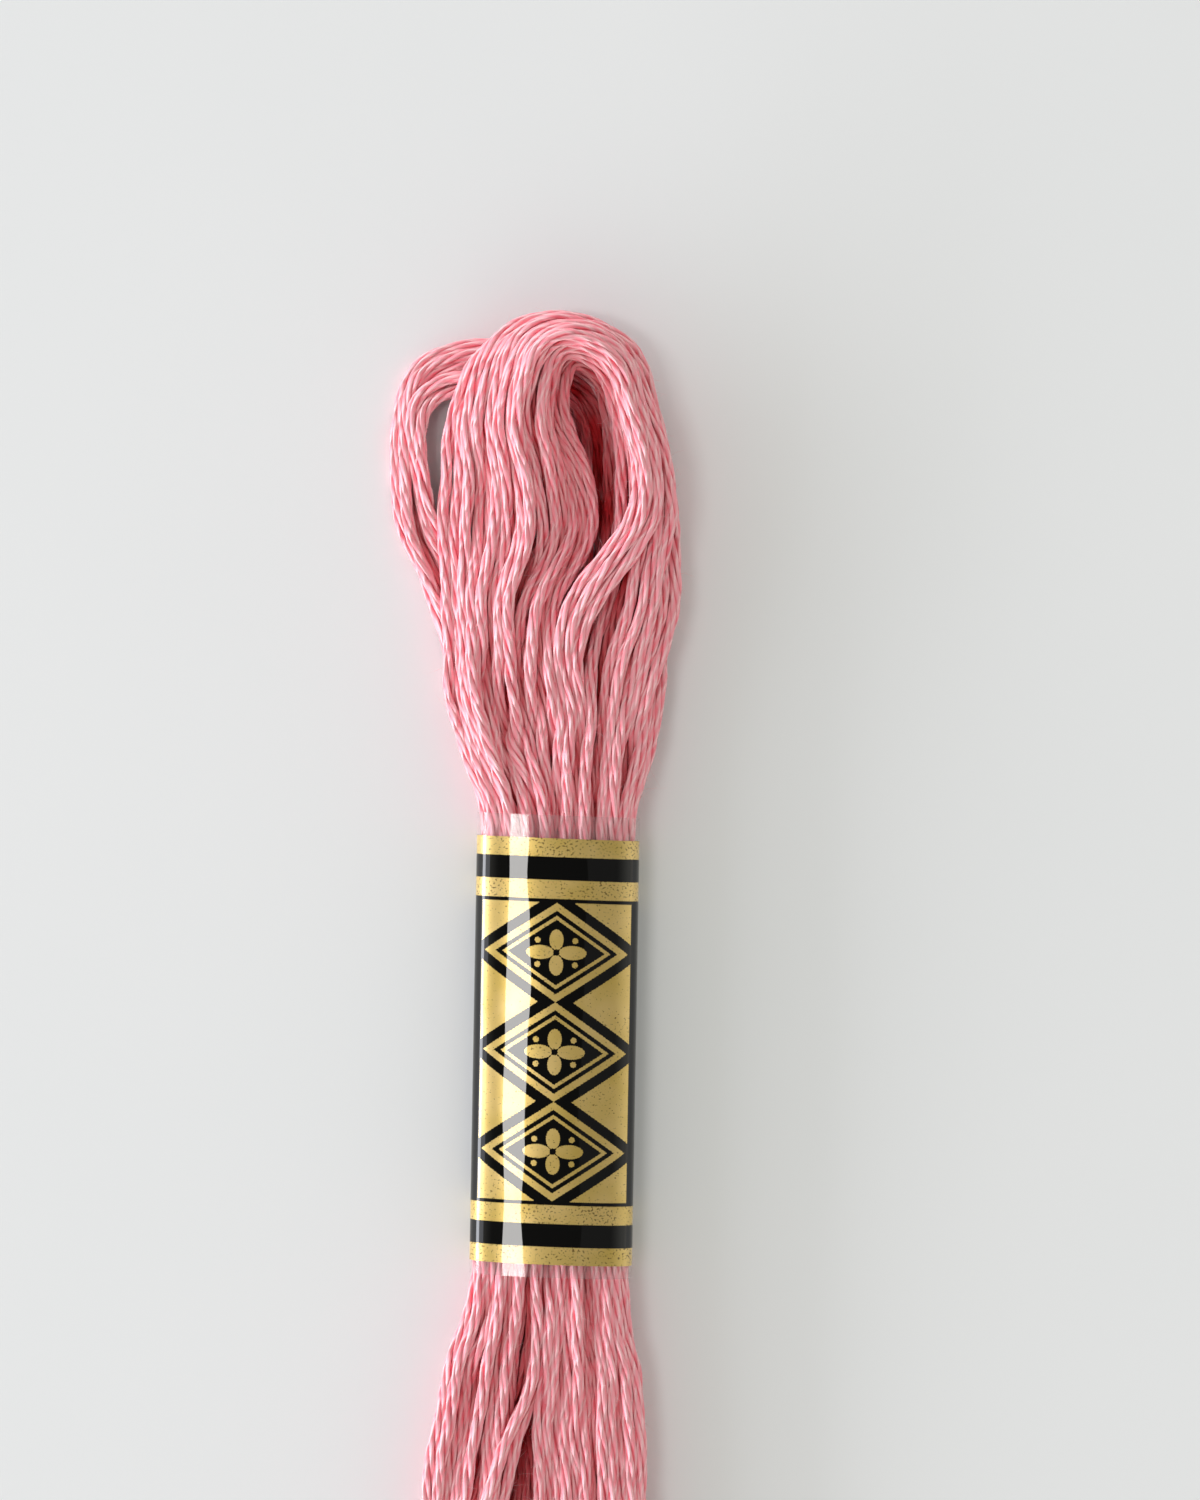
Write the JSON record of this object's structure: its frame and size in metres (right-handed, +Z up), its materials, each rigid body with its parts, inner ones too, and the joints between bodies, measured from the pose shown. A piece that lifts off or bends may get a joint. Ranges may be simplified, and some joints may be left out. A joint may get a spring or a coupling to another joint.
{
  "type": "skein of embroidery floss",
  "caption": "Looped hank of pink stranded cotton floss, drawn together by an oval printed film band, with an open eye and a slack side loop at its head.",
  "frame": {"origin": "middle of the band's flat underside, on the surface that the skein lies on", "axes": "+Y along the skein towards its head, +X to the right seen from above with the head up, +Z up"},
  "size_m": [0.0244, 0.1653, 0.0081],
  "materials": {
    "floss": "mercerised cotton, satin sheen",
    "label": "clear film printed black and gold, glossy"
  },
  "bodies": {
    "root": {"floss_hank": "floss", "label_band": "label"}
  },
  "joints": []
}
